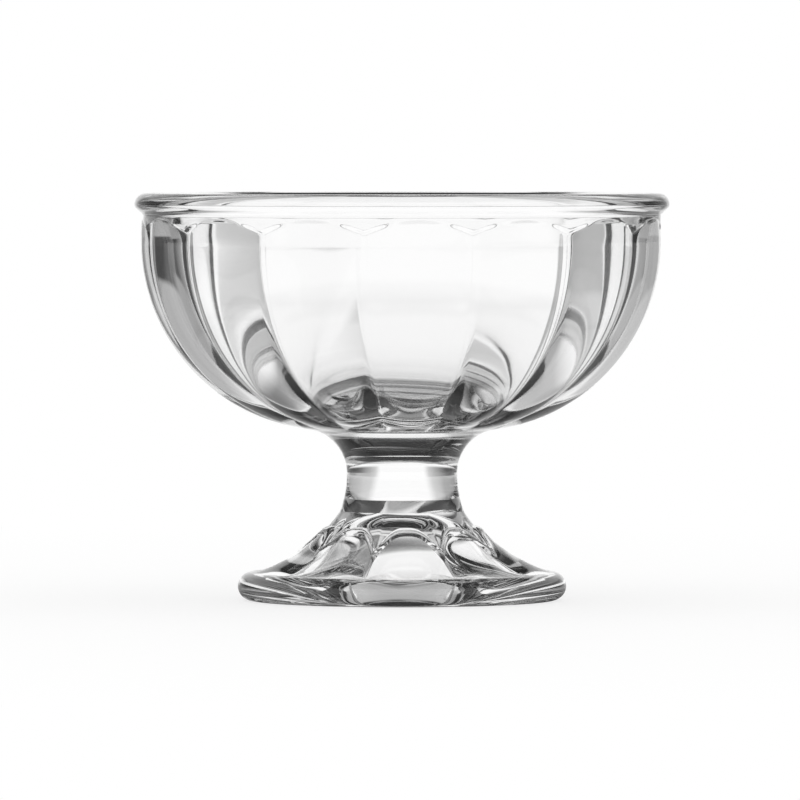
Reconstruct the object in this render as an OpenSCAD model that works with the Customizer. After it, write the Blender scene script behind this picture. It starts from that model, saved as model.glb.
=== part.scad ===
// Footed dessert dish of clear pressed glass: a lobed bowl, a waisted stem and a flared, lobed foot.
// Millimetres, +Z up, origin in the middle of the circle that the foot rests on.

/* [Rim] */
// Outside diameter of the rolled rim
rim_d = 92; // [78:0.5:106]
// Thickness of the rolled rim
bead_d = 4; // [3.4:0.1:4.6]
// How far the rolled rim stands out past the crests of the lobes
rim_overhang = 1; // [0.8:0.05:1.2]
// How far the plain band under the rolled rim lies in from the crests
band_step = 0.5; // [0.3:0.05:0.8]
// How far the mouth cuts into the inner side of the rolled rim
mouth_lap = 0.25; // [0.15:0.05:0.4]

/* [Bowl] */
// Height of the bowl, from its seam on the stem to the rim
bowl_h = 45; // [40:0.5:50]
// Distance from the rim down to the widest place
belly_drop = 8.2; // [7:0.2:10]
// Thickness of the glass at the widest place, under a crest
wall = 3.3; // [2.8:0.1:4]
// Thickness of the glass between the seam and the floor of the bowl
floor_t = 9; // [7:0.5:11]

/* [Lobes] */
// Number of lobes round the bowl
lobes = 15; // [12:1:18]
// Turn of the first lobe of the bowl and of the foot away from the front
lobe_turn = 3.7; // [0:0.1:30]
// Depth of the valleys between the lobes where the bowl is widest
lobe_depth = 1.5; // [0.5:0.1:1.9]
// Distance out from the stem over which the valleys run in
lobe_run = 6; // [3:0.5:12]
// Distance from the underside of the rolled rim down to the top of each lobe's arch
arch_gap = 0.1; // [0.1:0.1:1.5]
// Height of each arch over the points between the arches
arch_rise = 1.9; // [1.2:0.1:2.6]
// Height of the rounded lip along each arch
arch_lip = 0.9; // [0.5:0.1:1.5]

/* [Stem] */
// Height of the stem between its two seams
stem_h = 9.7; // [8:0.1:12]
// Diameter of the stem at its waist
stem_d = 19; // [16:0.5:22]
// Height of the waist above the lower seam
waist_h = 6.5; // [4:0.1:7]
// Radius of the stem's hollow profile under the waist
stem_curve_r = 19.3; // [14:0.1:30]
// Radius of the hollow profile from the waist up to the bowl
cove_r = 7.7; // [6.5:0.1:9]

/* [Foot] */
// Diameter of the foot
foot_d = 56.5; // [50:0.5:64]
// Height of the foot, from the table to its seam with the stem
foot_h = 15.3; // [13:0.1:18]
// Thickness of the foot's round edge
edge_t = 4.8; // [4:0.1:5.6]
// Radius of the hollow profile from the seam down to the round edge
flare_r = 32; // [26:0.5:40]
// Depth of the plain collar over the middle of each foot lobe
collar_h = 2.4; // [2:0.1:3]
// Height of the hollow's top under the seam
hollow_cap = 2.3; // [2:0.1:5]
// Radius of the dome at the top of the hollow
dome_r = 10; // [8:0.5:12]
// How far the hollow's level end would lie under the table
hollow_dip = 0.3; // [0.1:0.05:0.5]

/* [Foot lobes] */
// Number of lobes round the foot
petals = 9; // [7:1:12]
// Height of each foot lobe's arch over the points between the arches
petal_rise = 3.5; // [2:0.1:4]
// Depth of the valleys between the foot's lobes, at the round edge
petal_depth = 1.6; // [0.8:0.1:2]
// Distance in from the round edge over which those valleys run in
petal_run = 3; // [2:0.1:5]
// Height of the rounded lip along each foot lobe's arch
petal_lip = 1.4; // [0.8:0.1:2]
// How far the foot's lobes stand out from the collar
petal_step = 0.5; // [0.2:0.05:0.7]

/* [Hidden] */
$fn = 120;
glass_colour = [0.86, 0.9, 0.91];

// Length by which a shape runs past what it cuts, or into what it is fused to
overrun = 1;
// Width of the band's flat top outside the rolled rim's root
rim_ledge = 0.2;

// Straight steps across one lobe, and along each curve of the lobed solids
lobe_steps = 8;
petal_steps = 12;
cove_steps = 4;
bowl_steps = 16;
lip_steps = 2;
edge_steps = 8;
flare_steps = 9;
collar_steps = 2;

// Heights above the table
bowl_z = foot_h + stem_h;
waist_z = foot_h + waist_h;
floor_z = bowl_z + floor_t;
rim_z = bowl_z + bowl_h;
belly_z = rim_z - belly_drop;
bead_z = rim_z - bead_d / 2;
band_z = rim_z - bead_d;
arch_z = band_z - arch_gap;
collar_z = foot_h - collar_h;

// Bowl outside: the cove's arc and the crests' arc, which touch each other
bowl_r = rim_d / 2 - rim_overhang;
band_r = bowl_r - band_step;
cove_c = [stem_d / 2 + cove_r, waist_z];
cove_from_belly = [bowl_r, belly_z] - cove_c;
bowl_curve_r = (cove_from_belly * cove_from_belly - cove_r ^ 2) / (2 * (cove_from_belly.x + cove_r));
bowl_c = [bowl_r - bowl_curve_r, belly_z];
cove_start = 180 - asin((bowl_z - waist_z) / cove_r);
cove_end = atan2(bowl_c.y - cove_c.y, bowl_c.x - cove_c.x);
neck_r = cove_c.x + cove_r * cos(cove_end);

// Bowl inside: a flat floor and a quarter arc up to the widest place
inside_r = bowl_r - wall;
inside_curve_r = belly_z - floor_z;
floor_r = inside_r - inside_curve_r;
mouth_r = rim_d / 2 - bead_d + mouth_lap;

// Stem and foot profiles
stem_curve_x = stem_d / 2 + stem_curve_r;
seam_r = stem_curve_x - sqrt(stem_curve_r ^ 2 - waist_h ^ 2);
edge_c = [(foot_d - edge_t) / 2, edge_t / 2];
flare_c = arc_centre([seam_r, foot_h], [edge_c.x, edge_t], flare_r);

// Hollow under the foot: a dome and the flare that it runs out into, which touch each other
hollow_h = foot_h - hollow_cap;
bell_h = hollow_h + hollow_dip;
bell_r = (edge_c.x ^ 2 + bell_h ^ 2) / (2 * bell_h) - dome_r;
bell_c = [edge_c.x, bell_r - hollow_dip];
dome_c = [0, hollow_h - dome_r];
dome_end = blend(dome_c, bell_c, dome_r / (dome_r + bell_r));

function blend(from, to, share) = from + (to - from) * share;

function arc_point(centre, radius, angle) = centre + radius * [cos(angle), sin(angle)];

// Points of an arc without its first one
function arc_points(centre, radius, from, to, steps) =
    [for (i = [1 : steps]) arc_point(centre, radius, blend(from, to, i / steps))];

// Centre, on the outer and upper side, of an arc of the given radius from point p down to point q
function arc_centre(p, q, radius) =
    let (d = q - p, side = [-d.y, d.x] / norm(d))
    (p + q) / 2 + side * sqrt(radius ^ 2 - (d * d) / 4);

// Rounded lip from point p to point q, which it meets level
function lip_points(p, q) =
    [for (i = [1 : lip_steps])
        let (a = 90 * i / lip_steps)
        [blend(p.x, q.x, 1 - cos(a)), blend(p.y, q.y, sin(a))]];

// Place of a column of points across its lobe: 0 on the crest, -1 and 1 in the valleys beside it
function across_lobe(k, steps) = 2 * (k % steps) / steps - 1;

// Bowl's crest arc at an angle, sunk by the valley
function bowl_point(angle, valley) =
    let (
        p = arc_point(bowl_c, bowl_curve_r, angle),
        run = min(1, (p.x - neck_r) / lobe_run),
        depth = lobe_depth * p.x / bowl_r
    )
    p - depth * run * valley * [cos(angle), sin(angle)];

// Foot's crest arc at an angle, sunk by the valley
function foot_point(angle, valley) =
    let (
        p = arc_point(flare_c, flare_r, angle),
        run = min(1, (edge_c.x - p.x) / petal_run),
        depth = petal_depth * p.x / edge_c.x
    )
    p + depth * run * valley * [cos(angle), sin(angle)];

function flare_x(z) = flare_c.x - sqrt(flare_r ^ 2 - (flare_c.y - z) ^ 2);

// Outline of the bowl from the seam up to the flat top of the band
function bowl_outline(across) =
    let (
        valley = across ^ 2,
        lip_z = arch_z - arch_rise * valley,
        low = cove_end - 180,
        high = asin((lip_z - arch_lip - belly_z) / bowl_curve_r)
    )
    concat(
        [arc_point(cove_c, cove_r, cove_start)],
        arc_points(cove_c, cove_r, cove_start, cove_end, cove_steps),
        [for (i = [1 : bowl_steps]) bowl_point(blend(low, high, i / bowl_steps), valley)],
        lip_points(bowl_point(high, valley), [band_r, lip_z]),
        [[band_r, band_z]]
    );

// Outline of the foot from the table up to the seam
function foot_outline(across) =
    let (
        valley = across ^ 2,
        lip_z = collar_z - petal_rise * abs(across) ^ 3,
        low = atan2(edge_t - flare_c.y, edge_c.x - flare_c.x),
        top_z = lip_z - petal_lip,
        high = atan2(top_z - flare_c.y, flare_x(top_z) - flare_c.x)
    )
    concat(
        [[edge_c.x, 0]],
        arc_points(edge_c, edge_t / 2, -90, 90, edge_steps),
        [for (i = [1 : flare_steps]) foot_point(blend(low, high, i / flare_steps), valley)],
        lip_points(foot_point(high, valley), [flare_x(lip_z) - petal_step, lip_z]),
        [for (i = [1 : collar_steps])
            let (share = i / collar_steps, z = blend(lip_z, foot_h, share))
            [flare_x(z) - petal_step * (1 - share), z]]
    );

// Closed solid from one outline per column, with flat ends; a crest of its lobes lies at lobe_turn
module loft(outlines, lobe_count) {
    columns = len(outlines);
    rows = len(outlines[0]);
    points = [
        for (k = [0 : columns - 1], p = outlines[k])
            let (turn = lobe_turn - 90 + 360 * k / columns - 180 / lobe_count)
            [p.x * cos(turn), p.x * sin(turn), p.y]
    ];
    sides = [
        for (k = [0 : columns - 1], j = [0 : rows - 2])
            let (a = k * rows + j, b = (k + 1) % columns * rows + j)
            each [[a, a + 1, b + 1], [a, b + 1, b]]
    ];
    bottom = [for (k = [0 : columns - 1]) k * rows];
    top = [for (k = [columns - 1 : -1 : 0]) k * rows + rows - 1];
    polyhedron(points, concat(sides, [bottom, top]));
}

module rim() {
    root_r = inside_r - overrun;
    rotate_extrude() {
        translate([(rim_d - bead_d) / 2, bead_z])
            circle(bead_d / 2);
        translate([root_r, band_z - overrun])
            square([band_r - rim_ledge - root_r, bead_z - band_z + overrun]);
    }
}

module bowl_inside() {
    rotate_extrude() {
        polygon([
            [0, belly_z],
            [inside_r, belly_z],
            [mouth_r, bead_z],
            [mouth_r, rim_z + overrun],
            [0, rim_z + overrun]
        ]);
        translate([0, floor_z])
            square([floor_r, inside_curve_r]);
        intersection() {
            translate([floor_r, belly_z])
                circle(inside_curve_r);
            translate([0, floor_z - overrun])
                square([inside_r + overrun, inside_curve_r + overrun]);
        }
    }
}

module bowl() {
    color(glass_colour)
        difference() {
            union() {
                loft(
                    [for (k = [0 : lobes * lobe_steps - 1]) bowl_outline(across_lobe(k, lobe_steps))],
                    lobes
                );
                rim();
            }
            bowl_inside();
        }
}

module stem() {
    color(glass_colour)
        rotate_extrude() {
            difference() {
                translate([0, foot_h])
                    square([stem_curve_x, waist_h]);
                translate([stem_curve_x, waist_z])
                    circle(stem_curve_r);
            }
            difference() {
                translate([0, waist_z])
                    square([cove_c.x, stem_h - waist_h]);
                translate(cove_c)
                    circle(cove_r);
            }
        }
}

module hollow() {
    rotate_extrude() {
        intersection() {
            translate(dome_c)
                circle(dome_r);
            translate([0, dome_end.y - overrun])
                square([dome_end.x, dome_r + overrun]);
        }
        difference() {
            translate([0, -overrun])
                square([edge_c.x, dome_end.y + overrun]);
            translate(bell_c)
                circle(bell_r);
        }
    }
}

module foot() {
    color(glass_colour)
        difference() {
            loft(
                [for (k = [0 : petals * petal_steps - 1]) foot_outline(across_lobe(k, petal_steps))],
                petals
            );
            hollow();
        }
}

bowl();
stem();
foot();
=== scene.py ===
# Footed dessert dish of clear pressed glass, on a pale floor in soft studio light.
import math

import bmesh
import bpy
import numpy as np
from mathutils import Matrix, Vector


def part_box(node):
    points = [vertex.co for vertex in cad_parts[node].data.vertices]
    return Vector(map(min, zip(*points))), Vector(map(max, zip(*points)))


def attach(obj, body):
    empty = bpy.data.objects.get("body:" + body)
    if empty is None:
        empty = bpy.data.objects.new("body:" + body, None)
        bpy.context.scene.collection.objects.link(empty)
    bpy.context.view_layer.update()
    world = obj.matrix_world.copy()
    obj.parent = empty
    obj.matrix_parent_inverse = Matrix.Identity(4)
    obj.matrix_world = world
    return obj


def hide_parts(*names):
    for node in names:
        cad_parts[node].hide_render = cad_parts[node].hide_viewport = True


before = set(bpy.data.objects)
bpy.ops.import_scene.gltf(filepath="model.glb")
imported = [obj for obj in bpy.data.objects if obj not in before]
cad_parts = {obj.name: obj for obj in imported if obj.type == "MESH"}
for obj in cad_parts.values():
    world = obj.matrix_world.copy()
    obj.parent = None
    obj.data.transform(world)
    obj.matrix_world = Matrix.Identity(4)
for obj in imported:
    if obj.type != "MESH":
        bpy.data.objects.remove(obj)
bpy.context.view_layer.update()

# Places that the frame gives, in millimetres
MM = 0.001
bowl_low, bowl_high = np.array(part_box("bowl")) / MM
foot_high = np.array(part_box("foot"))[1] / MM
RIM_R = bowl_high[0]
RIM_Z = bowl_high[2]
BOWL_Z = bowl_low[2]
FOOT_R = foot_high[0]
FOOT_H = foot_high[2]

# Rim, in millimetres
BEAD_R = 2.0
BEAD_Z = RIM_Z - BEAD_R
RIM_OVERHANG = 1.0
MOUTH_LAP = 0.25

# Bowl, in millimetres
BOWL_R = RIM_R - RIM_OVERHANG
BELLY_DROP = 8.2
BELLY_Z = RIM_Z - BELLY_DROP
BAND_STEP = 0.5
BAND_R = BOWL_R - BAND_STEP
BAND_TOP = BEAD_Z - BEAD_R
WALL = 3.3
FLOOR_T = 9.0
FLOOR_Z = BOWL_Z + FLOOR_T

# Lobes of the bowl, in millimetres and degrees
LOBES = 15
LOBE_TURN = 3.7
LOBE_DEPTH = 1.5
LOBE_RUN = 6.0
VALLEY_ROUND_SHARE = 0.08
ARCH_GAP = 0.1
ARCH_Z = BAND_TOP - ARCH_GAP
ARCH_RISE = 1.9
ARCH_LIP = 0.9

# Stem, in millimetres
WAIST_R = 9.5
WAIST_H = 6.5
WAIST_Z = FOOT_H + WAIST_H
STEM_CURVE_R = 19.3
COVE_R = 7.7
SEAM_GAP = 0.02

# Foot, in millimetres
EDGE_R = 2.4
FLARE_R = 32.0
COLLAR_H = 2.4
COLLAR_Z = FOOT_H - COLLAR_H
HOLLOW_CAP = 2.3
HOLLOW_H = FOOT_H - HOLLOW_CAP
DOME_R = 10.0
HOLLOW_DIP = 0.3

# Lobes of the foot, in millimetres
PETALS = 9
PETAL_RISE = 3.5
PETAL_DEPTH = 1.6
PETAL_RUN = 3.0
PETAL_LIP = 1.4
PETAL_STEP = 0.5

# Mesh columns round the dish
LOBE_STEPS = 24
COLUMNS = LOBES * LOBE_STEPS
SHARP_ANGLE = math.radians(28)

# Mesh rows along each stretch of the bowl, from the seam to the middle of its floor
COVE_ROWS = 16
LOBE_ROWS = 90
ARCH_LIP_ROWS = 10
BAND_ROWS = 3
ROLL_ROWS = 14
BEAD_ROWS = 30
MOUTH_ROWS = 2
WALL_ROWS = 6
INSIDE_ROWS = 60
FLOOR_ROWS = 6
INNERMOST_SHARE = 1 / 8

# Mesh rows along each stretch of the stem and the foot
STEM_LOW_ROWS = 20
STEM_HIGH_ROWS = 12
HOLLOW_ROWS = 24
RING_ROWS = 2
EDGE_ROWS = 28
PETAL_ROWS = 40
PETAL_LIP_ROWS = 6
COLLAR_ROWS = 8

# Glass, with its waves to the metre and their height in metres
GLASS_IOR = 1.5
GLASS_ROUGHNESS = 0.03
WAVE_SCALE = 90.0
WAVE_STRENGTH = 0.05
WAVE_HEIGHT = 0.0005
MAX_BOUNCES = 32
GLASS_BOUNCES = 24

# Camera, fitted to the photograph's 800 pixel frame, in pixels, metres and millimetres
FRAME_PX = 800
PX_PER_MM = 5.815
AXIS_PX = 402
TABLE_PX = 600
CAMERA_DISTANCE = 1.6
CAMERA_HEIGHT = 0.080
SENSOR_MM = 36.0

# Studio that the glass shows: brightness by angle to the right of the backdrop's middle, in degrees. The
# backdrop is the world's; the two floor ramps are painted dark wedges in the floor's glow, painted shade
BACKDROP = [
    (-180, 1.0), (-95, 0.95), (-80, 0.05), (-42, 0.05), (-36, 0.15), (-26, 0.4), (-20, 0.6), (-16, 1.0),
    (16, 1.0), (20, 0.6), (26, 0.4), (36, 0.15), (42, 0.05), (80, 0.05), (95, 0.95), (180, 1.0)]
# Painted shade: the floor's glow for the glass, darker in wedges to the sides by angle round the dish
PAINTED_FAR_FLOOR_WEDGES = [
    (-180, 1.0), (-75, 0.95), (-60, 0.07), (-42, 0.07), (-36, 0.2), (-26, 0.4), (-20, 0.6), (-16, 1.0),
    (16, 1.0), (20, 0.6), (26, 0.45), (40, 0.42), (46, 0.3), (60, 0.3), (75, 0.95), (180, 1.0)]
PAINTED_NEAR_FLOOR_WEDGES = [
    (-180, 1.0), (-75, 0.95), (-60, 0.45), (-34, 0.45), (-22, 0.65), (-16, 1.0),
    (16, 1.0), (22, 0.65), (40, 0.55), (60, 0.55), (75, 0.95), (180, 1.0)]
DARK = 0.03

# Angles over the horizon at which the cards and the backdrop start to end and end, in degrees
CARD_TOP = (12, 18)
BACKDROP_TOP = (31, 37)

# Floor, in metres
FLOOR_SIZE = 8
FLOOR_GAP = 0.00005
FLOOR_ROUGHNESS = 0.7

# Where the floor's rings start and end for the glass, in metres: the hollow's painted light, the painted
# shadow ring round the foot and its darkness, and the ring where the near painted wedges give way to the far
# ones
FOOT_RING = (0.021, 0.025)
# Painted shadow: how dark the floor's glow for the glass is round the foot
PAINTED_FOOT_SHADOW = 0.08
PAINTED_SHADOW_RING = (0.027, 0.05)
TABLE_RING = (0.28, 0.33)

# Painted gloss: the floor's glow for the glass is dim where it is met from above, a painted reflection, in
# metres and degrees under the horizon
PAINTED_GLOSS_FROM_ABOVE = 0.03
ABOVE_RING = (0.1, 0.09)
SLANT = (40, 32)
UNDER_FROM_ABOVE = 0.35
UNDER_SLANT = (62, 50)

# Share of the floor's white that takes no shadow, and the ring over which it grows to all of it, in metres
UNSHADED_SHARE = 0.75
SHADOW_RING = (0.06, 0.3)

# Bounces inside the glass over which what it shows grows dark, a painted shade
DEEP_BOUNCES = (4, 8)

# Angle of each column of the meshes from the front
turns = math.radians(LOBE_TURN) + np.linspace(0, 2 * math.pi, COLUMNS, endpoint=False)


def shares(steps):
    """Even shares of the way from 0 to 1, without the first one."""
    return np.linspace(0, 1, steps + 1)[1:]


def from_crest(lobes):
    """Each column's share of the way from the crest of its lobe to the valley beside it."""
    place = np.arange(COLUMNS) * lobes / COLUMNS % 1
    return 2 * np.minimum(place, 1 - place)


def valley_share(w):
    """Depth at share w of the way from crest to valley: a parabola with a level, rounded end."""
    start = 1 - VALLEY_ROUND_SHARE
    end = start ** 2 + 2 * start * (w - start) - start * (w - start) ** 2 / VALLEY_ROUND_SHARE
    return np.where(w > start, end, w ** 2)


def row(r, z):
    """One ring of points: radius and height, alike all round or one for each column."""
    return np.stack([np.broadcast_to(r, COLUMNS), np.broadcast_to(z, COLUMNS)], -1).astype(float)


def row_toward(ring, r, z, r_share, z_share):
    """Ring that has gone a share of the way from a ring to the radius r and one to the height z."""
    return row(ring[:, 0] + (r - ring[:, 0]) * r_share, ring[:, 1] + (z - ring[:, 1]) * z_share)


def straight_rows(ring, r, z, steps):
    """Rings along straight lines from a ring to the radius r and height z."""
    return [row_toward(ring, r, z, s, s) for s in shares(steps)]


def soft_rows(ring, r, z, steps):
    """Rings along a soft step from a ring to the radius r and height z."""
    return [row_toward(ring, r, z, (1 - math.cos(math.pi * s)) / 2, s) for s in shares(steps)]


def lip_rows(ring, r, z, steps):
    """Rings along a rounded lip from a ring to the radius r and height z."""
    return [row_toward(ring, r, z, 1 - math.cos(a), math.sin(a)) for a in shares(steps) * math.pi / 2]


def arc_row(centre, radius, angle):
    """Ring at an angle, in radians, of an arc."""
    return row(centre[0] + radius * np.cos(angle), centre[1] + radius * np.sin(angle))


def arc_rows(centre, radius, start, end, steps):
    """Rings along an arc, without the first one. The ends are angles in radians."""
    return [arc_row(centre, radius, start + (end - start) * s) for s in shares(steps)]


def bowl_rows():
    """From the seam up the outside, over the rolled rim and down the inside to the floor."""
    cove = (WAIST_R + COVE_R, WAIST_Z)
    dx, dz = BOWL_R - cove[0], BELLY_Z - cove[1]
    curve_r = (dx ** 2 + dz ** 2 - COVE_R ** 2) / (2 * (dx + COVE_R))
    centre = (BOWL_R - curve_r, BELLY_Z)
    cove_start = math.pi - math.asin((BOWL_Z - WAIST_Z) / COVE_R)
    cove_end = math.atan2(centre[1] - cove[1], centre[0] - cove[0])
    neck_r = cove[0] + COVE_R * math.cos(cove_end)
    rows = [arc_row(cove, COVE_R, cove_start)]
    rows += arc_rows(cove, COVE_R, cove_start, cove_end, COVE_ROWS)
    # Lobes, each up to its own arch
    across = from_crest(LOBES)
    valley = valley_share(across)
    arch_z = ARCH_Z - ARCH_RISE * across ** 2
    low = cove_end - math.pi
    high = np.arcsin((arch_z - ARCH_LIP - BELLY_Z) / curve_r)
    for share in shares(LOBE_ROWS):
        angle = low + (high - low) * share
        crest = arc_row(centre, curve_r, angle)
        run = np.clip((crest[:, 0] - neck_r) / LOBE_RUN, 0, 1)
        depth = LOBE_DEPTH * crest[:, 0] / BOWL_R * run * valley
        rows.append(crest - row(depth * np.cos(angle), depth * np.sin(angle)))
    rows += soft_rows(rows[-1], BAND_R, arch_z, ARCH_LIP_ROWS)
    # Band and rolled rim
    bead_x = RIM_R - BEAD_R
    mouth_r = bead_x - BEAD_R + MOUTH_LAP
    bead_end = math.pi - math.acos((bead_x - mouth_r) / BEAD_R)
    rows += straight_rows(rows[-1], BAND_R, BAND_TOP, BAND_ROWS)
    rows += soft_rows(rows[-1], RIM_R, BEAD_Z, ROLL_ROWS)
    rows += arc_rows((bead_x, BEAD_Z), BEAD_R, 0, bead_end, BEAD_ROWS)
    # Inside
    inside_r = BOWL_R - WALL
    inside_curve_r = BELLY_Z - FLOOR_Z
    floor_r = inside_r - inside_curve_r
    rows += straight_rows(rows[-1], mouth_r, BEAD_Z, MOUTH_ROWS)
    rows += straight_rows(rows[-1], inside_r, BELLY_Z, WALL_ROWS)
    rows += arc_rows((floor_r, BELLY_Z), inside_curve_r, 0, -math.pi / 2, INSIDE_ROWS)
    rows += straight_rows(rows[-1], floor_r * INNERMOST_SHARE, FLOOR_Z, FLOOR_ROWS)
    return rows


def stem_rows():
    """From the lower seam over the waist to the upper seam."""
    low = (WAIST_R + STEM_CURVE_R, WAIST_Z)
    high = (WAIST_R + COVE_R, WAIST_Z)
    low_start = math.pi + math.asin((WAIST_Z - FOOT_H - SEAM_GAP) / STEM_CURVE_R)
    high_end = math.pi - math.asin((BOWL_Z - SEAM_GAP - WAIST_Z) / COVE_R)
    rows = [arc_row(low, STEM_CURVE_R, low_start)]
    rows += arc_rows(low, STEM_CURVE_R, low_start, math.pi, STEM_LOW_ROWS)
    rows += arc_rows(high, COVE_R, math.pi, high_end, STEM_HIGH_ROWS)
    return rows


def foot_rows():
    """From the middle of the hollow out to the round edge and up the flare to the seam."""
    seam_r = WAIST_R + STEM_CURVE_R - math.sqrt(STEM_CURVE_R ** 2 - WAIST_H ** 2)
    edge = np.array((FOOT_R - EDGE_R, EDGE_R))
    top, end = np.array((seam_r, FOOT_H)), np.array((edge[0], 2 * EDGE_R))
    chord = end - top
    side = np.array((-chord[1], chord[0])) / np.linalg.norm(chord)
    centre = (top + end) / 2 + side * math.sqrt(FLARE_R ** 2 - chord @ chord / 4)

    def flare_x(z):
        return centre[0] - np.sqrt(FLARE_R ** 2 - (centre[1] - z) ** 2)

    # Hollow, a bell: a dome that runs out into a flare, which crosses the table's level
    bell_h = HOLLOW_H + HOLLOW_DIP
    bell_r = (edge[0] ** 2 + bell_h ** 2) / (2 * bell_h) - DOME_R
    lean = math.asin(edge[0] / (DOME_R + bell_r))
    bell = (edge[0], bell_r - HOLLOW_DIP)
    bell_end = math.acos(bell[1] / bell_r)
    rows = arc_rows((0, HOLLOW_H - DOME_R), DOME_R, math.pi / 2, math.pi / 2 - lean, HOLLOW_ROWS)
    rows += arc_rows(bell, bell_r, math.pi * 1.5 - lean, math.pi * 1.5 - bell_end, HOLLOW_ROWS)
    rows += straight_rows(rows[-1], edge[0], 0, RING_ROWS)
    rows += arc_rows(edge, EDGE_R, -math.pi / 2, math.pi / 2, EDGE_ROWS)
    # Lobes, each up to its own arch under the collar
    across = from_crest(PETALS)
    valley = valley_share(across)
    arch_z = COLLAR_Z - PETAL_RISE * across ** 3
    top_z = arch_z - PETAL_LIP
    low = math.atan2(end[1] - centre[1], end[0] - centre[0])
    high = np.arctan2(top_z - centre[1], flare_x(top_z) - centre[0])
    for share in shares(PETAL_ROWS):
        angle = low + (high - low) * share
        crest = arc_row(centre, FLARE_R, angle)
        run = np.clip((edge[0] - crest[:, 0]) / PETAL_RUN, 0, 1)
        depth = PETAL_DEPTH * crest[:, 0] / edge[0] * run * valley
        rows.append(crest + row(depth * np.cos(angle), depth * np.sin(angle)))
    rows += lip_rows(rows[-1], flare_x(arch_z) - PETAL_STEP, arch_z, PETAL_LIP_ROWS)
    for share in shares(COLLAR_ROWS):
        z = arch_z + (FOOT_H - arch_z) * share
        rows.append(row(flare_x(z) - PETAL_STEP * (1 - share), z))
    return rows


def turned(name, rows, low_seam, high_seam):
    """Closed piece from rings. Each end closes in a fan, which is a seam or the glass itself."""
    r, z = np.array(rows)[:, :, 0], np.array(rows)[:, :, 1]
    points = np.stack([r * np.sin(turns), -r * np.cos(turns), z], -1)
    middles = [(0, 0, z[0].mean()), (0, 0, z[-1].mean())]
    verts = np.vstack([points.reshape(-1, 3), middles]) * MM
    count = len(rows)
    i, j = np.meshgrid(np.arange(count - 1), np.arange(COLUMNS), indexing="ij")
    k = (j + 1) % COLUMNS
    corners = (i * COLUMNS + j, i * COLUMNS + k, (i + 1) * COLUMNS + k, (i + 1) * COLUMNS + j)
    sides = np.stack(corners, -1).reshape(-1, 4).tolist()
    low_end, high_end = count * COLUMNS, count * COLUMNS + 1
    last = (count - 1) * COLUMNS
    low_fan = [(low_end, (n + 1) % COLUMNS, n) for n in range(COLUMNS)]
    high_fan = [(high_end, last + n, last + (n + 1) % COLUMNS) for n in range(COLUMNS)]
    mesh = bpy.data.meshes.new(name)
    mesh.from_pydata(verts.tolist(), [], sides + low_fan + high_fan)
    seams = [0] * len(sides) + [int(low_seam)] * COLUMNS + [int(high_seam)] * COLUMNS
    mesh.polygons.foreach_set("material_index", seams)
    mesh.shade_smooth()
    shape = bmesh.new()
    shape.from_mesh(mesh)
    bmesh.ops.recalc_face_normals(shape, faces=shape.faces)
    for e in shape.edges:
        e.smooth = e.calc_face_angle(0) < SHARP_ANGLE
    shape.to_mesh(mesh)
    shape.free()
    piece = bpy.data.objects.new(name, mesh)
    bpy.context.scene.collection.objects.link(piece)
    return piece


def grey(level):
    return (level, level, level, 1)


def sines(angles):
    """Sines of angles in degrees."""
    return [math.sin(math.radians(a)) for a in angles]


def new_node(tree, kind, inputs=(), **settings):
    """A shader node with its inputs linked or set."""
    n = tree.nodes.new("ShaderNode" + kind)
    for key, value in settings.items():
        setattr(n, key, value)
    for key, value in dict(inputs).items():
        if isinstance(value, bpy.types.NodeSocket):
            tree.links.new(value, n.inputs[key])
        else:
            n.inputs[key].default_value = value
    return n


def calc(tree, operation, *values):
    return new_node(tree, "Math", enumerate(values), operation=operation).outputs[0]


def mixed(tree, share, a, b):
    """Colour a blended to colour b."""
    return new_node(tree, "Mix", {0: share, 6: a, 7: b}, data_type="RGBA").outputs[2]


def rise(tree, value, ends, low=0.0):
    """Share that goes from low to 1 as a value goes from one end to the other."""
    return new_node(tree, "MapRange", {0: value, 1: ends[0], 2: ends[1], 3: low}).outputs[0]


def brightness_by_turn(tree, vector, stops):
    """Grey level by the angle to the right of +Y."""
    parts = new_node(tree, "SeparateXYZ", {0: vector})
    turn = calc(tree, "ARCTAN2", parts.outputs["X"], parts.outputs["Y"])
    n = new_node(tree, "ValToRGB", {0: rise(tree, turn, (-math.pi, math.pi))})
    elements = n.color_ramp.elements
    while len(elements) < len(stops):
        elements.new(0.5)
    for e, (angle, level) in zip(elements, stops):
        e.position = (angle + 180) / 360
        e.color = grey(level)
    return n.outputs["Color"]


def with_painted_depth_shade(tree, ray, colour):
    """Colour that grows dark with the bounces that a ray has made inside the glass: painted shade in the
    glass.
    """
    return mixed(tree, rise(tree, ray["Ray Depth"], DEEP_BOUNCES), colour, grey(DARK))


def seen_in_glass(tree, ray):
    """1 for what is seen through glass or mirrored in it."""
    return calc(tree, "MAXIMUM", ray["Is Transmission Ray"], ray["Is Glossy Ray"])


def white_material(name, roughness):
    """A white material and its shader."""
    m = bpy.data.materials.new(name)
    m.use_nodes = True
    shader = m.node_tree.nodes["Principled BSDF"]
    shader.inputs["Base Color"].default_value = grey(1.0)
    shader.inputs["Roughness"].default_value = roughness
    return m, shader


def glass_material():
    """Clear glass with the faint unevenness of pressing."""
    m, shader = white_material("clear_glass", GLASS_ROUGHNESS)
    tree = m.node_tree
    shader.inputs["IOR"].default_value = GLASS_IOR
    shader.inputs["Transmission Weight"].default_value = 1.0
    place = new_node(tree, "TexCoord").outputs["Object"]
    waves = new_node(tree, "TexNoise", {"Vector": place, "Scale": WAVE_SCALE, "Detail": 1.0})
    bump = new_node(
        tree, "Bump", {"Height": waves.outputs["Fac"], "Strength": WAVE_STRENGTH, "Distance": WAVE_HEIGHT})
    tree.links.new(bump.outputs["Normal"], shader.inputs["Normal"])
    return m


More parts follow.
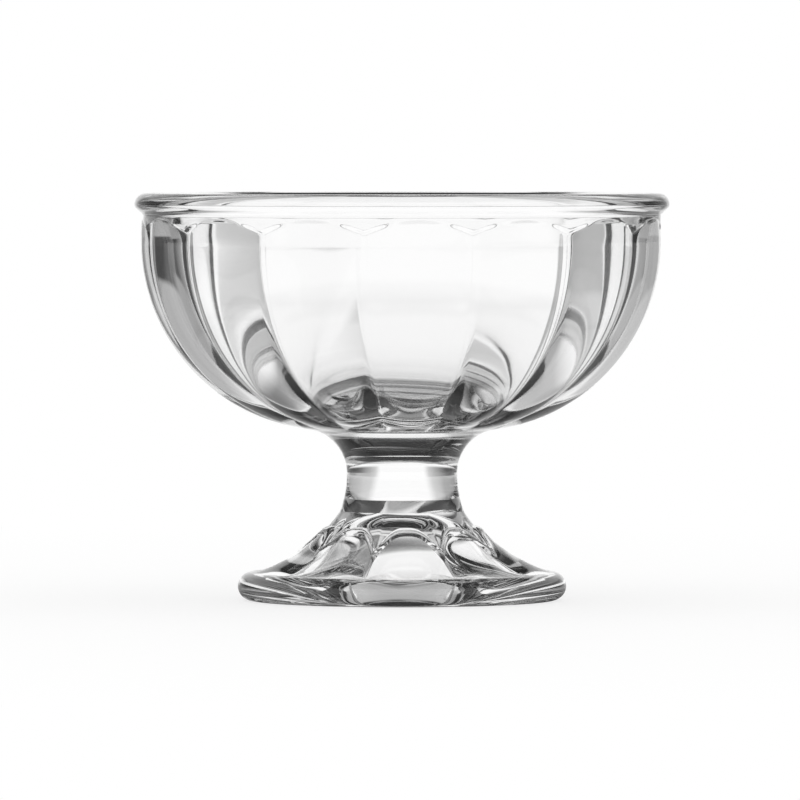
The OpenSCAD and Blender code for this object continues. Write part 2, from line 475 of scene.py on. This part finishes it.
def seam_material():
    """Fused seam inside the glass, which light crosses unbent."""
    m, shader = white_material("fused_seam", 0.0)
    shader.inputs["Alpha"].default_value = 0.0
    return m


def make_dish():
    glass, seam = glass_material(), seam_material()
    for node, rows, low_seam, high_seam in (
        ("bowl", bowl_rows(), True, False),
        ("stem", stem_rows(), True, True),
        ("foot", foot_rows(), False, True),
    ):
        piece = turned(node + "_glass", rows, low_seam, high_seam)
        piece.data.materials.append(glass)
        piece.data.materials.append(seam)
        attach(piece, "root")
        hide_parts(node)


def make_floor():
    """Pale floor, white to the camera but for the dish's shadow. For the glass it glows with painted shade
    and light: dark wedges to the sides, a painted shadow round the foot, painted gloss and painted light
    under the hollow.
    """
    bpy.ops.mesh.primitive_plane_add(size=FLOOR_SIZE, location=(0, 0, -FLOOR_GAP))
    floor = bpy.context.object
    floor.name = "floor"
    m, shader = white_material("pale_floor", FLOOR_ROUGHNESS)
    tree = m.node_tree
    ray = new_node(tree, "LightPath").outputs
    place = new_node(tree, "NewGeometry").outputs["Position"]
    distance = new_node(tree, "VectorMath", {0: place}, operation="LENGTH").outputs["Value"]
    facing = new_node(tree, "LayerWeight").outputs["Facing"]
    # Painted dark wedges that the glass shows, dimmed by a painted shadow near the foot and by painted gloss
    # where they are met from above
    near, far = brightness_by_turn(tree, place, PAINTED_NEAR_FLOOR_WEDGES), brightness_by_turn(tree, place, PAINTED_FAR_FLOOR_WEDGES)
    shown = mixed(tree, rise(tree, distance, TABLE_RING), near, far)
    slant = [1 - s for s in sines(SLANT)]
    painted_gloss = calc(tree, "MAXIMUM", rise(tree, facing, slant, PAINTED_GLOSS_FROM_ABOVE), rise(tree, distance, ABOVE_RING))
    level = calc(tree, "MULTIPLY", painted_gloss, rise(tree, distance, PAINTED_SHADOW_RING, PAINTED_FOOT_SHADOW))
    shown = mixed(tree, level, grey(0.0), shown)
    # Painted light under the hollow of the foot, dimmed by painted gloss where it is met from above
    painted_light_under_hollow = rise(tree, facing, [1 - s for s in sines(UNDER_SLANT)], UNDER_FROM_ABOVE)
    shown = mixed(tree, rise(tree, distance, FOOT_RING), painted_light_under_hollow, shown)
    colour = mixed(tree, ray["Is Camera Ray"], with_painted_depth_shade(tree, ray, shown), grey(1.0))
    glow = new_node(tree, "Emission", {"Color": colour})
    # Plain white to the camera, with the shadow near the foot
    plain = rise(tree, distance, SHADOW_RING, UNSHADED_SHARE)
    white = calc(
        tree, "MAXIMUM", seen_in_glass(tree, ray), calc(tree, "MULTIPLY", ray["Is Camera Ray"], plain))
    mix = new_node(tree, "MixShader", {0: white, 1: shader.outputs[0], 2: glow.outputs[0]})
    tree.links.new(mix.outputs[0], tree.nodes["Material Output"].inputs["Surface"])
    floor.data.materials.append(m)


def make_studio():
    """White light. The glass shows a white backdrop with low cards beside it and the dark over it."""
    world = bpy.data.worlds.new("studio")
    bpy.context.scene.world = world
    world.use_nodes = True
    tree = world.node_tree
    ray = new_node(tree, "LightPath").outputs
    way = new_node(tree, "TexCoord").outputs["Generated"]
    height = new_node(tree, "SeparateXYZ", {0: way}).outputs["Z"]
    cards = brightness_by_turn(tree, way, BACKDROP)
    cards = mixed(tree, rise(tree, height, sines(CARD_TOP)), cards, grey(1.0))
    cards = mixed(tree, rise(tree, height, sines(BACKDROP_TOP)), cards, grey(DARK))
    cards = with_painted_depth_shade(tree, ray, cards)
    not_camera = calc(tree, "SUBTRACT", 1.0, ray["Is Camera Ray"])
    by_glass = calc(tree, "MULTIPLY", seen_in_glass(tree, ray), not_camera)
    colour = mixed(tree, by_glass, grey(1.0), cards)
    tree.links.new(colour, tree.nodes["Background"].inputs["Color"])


def make_camera():
    data = bpy.data.cameras.new("camera")
    camera = bpy.data.objects.new("camera", data)
    bpy.context.scene.collection.objects.link(camera)
    bpy.context.scene.camera = camera
    data.sensor_width = SENSOR_MM
    data.lens = SENSOR_MM * CAMERA_DISTANCE / (FRAME_PX / PX_PER_MM * MM)
    aim_x = (FRAME_PX / 2 - AXIS_PX) / PX_PER_MM * MM
    aim_z = (TABLE_PX - FRAME_PX / 2) / PX_PER_MM * MM
    camera.location = (aim_x, -CAMERA_DISTANCE, CAMERA_HEIGHT)
    camera.rotation_mode = "QUATERNION"
    aim = Vector((aim_x, 0, aim_z)) - camera.location
    camera.rotation_quaternion = aim.to_track_quat("-Z", "Y")


scene = bpy.context.scene
scene.view_settings.view_transform = "Standard"
scene.cycles.max_bounces = MAX_BOUNCES
scene.cycles.glossy_bounces = GLASS_BOUNCES
scene.cycles.transmission_bounces = GLASS_BOUNCES
scene.cycles.transparent_max_bounces = GLASS_BOUNCES
make_dish()
make_floor()
make_studio()
make_camera()
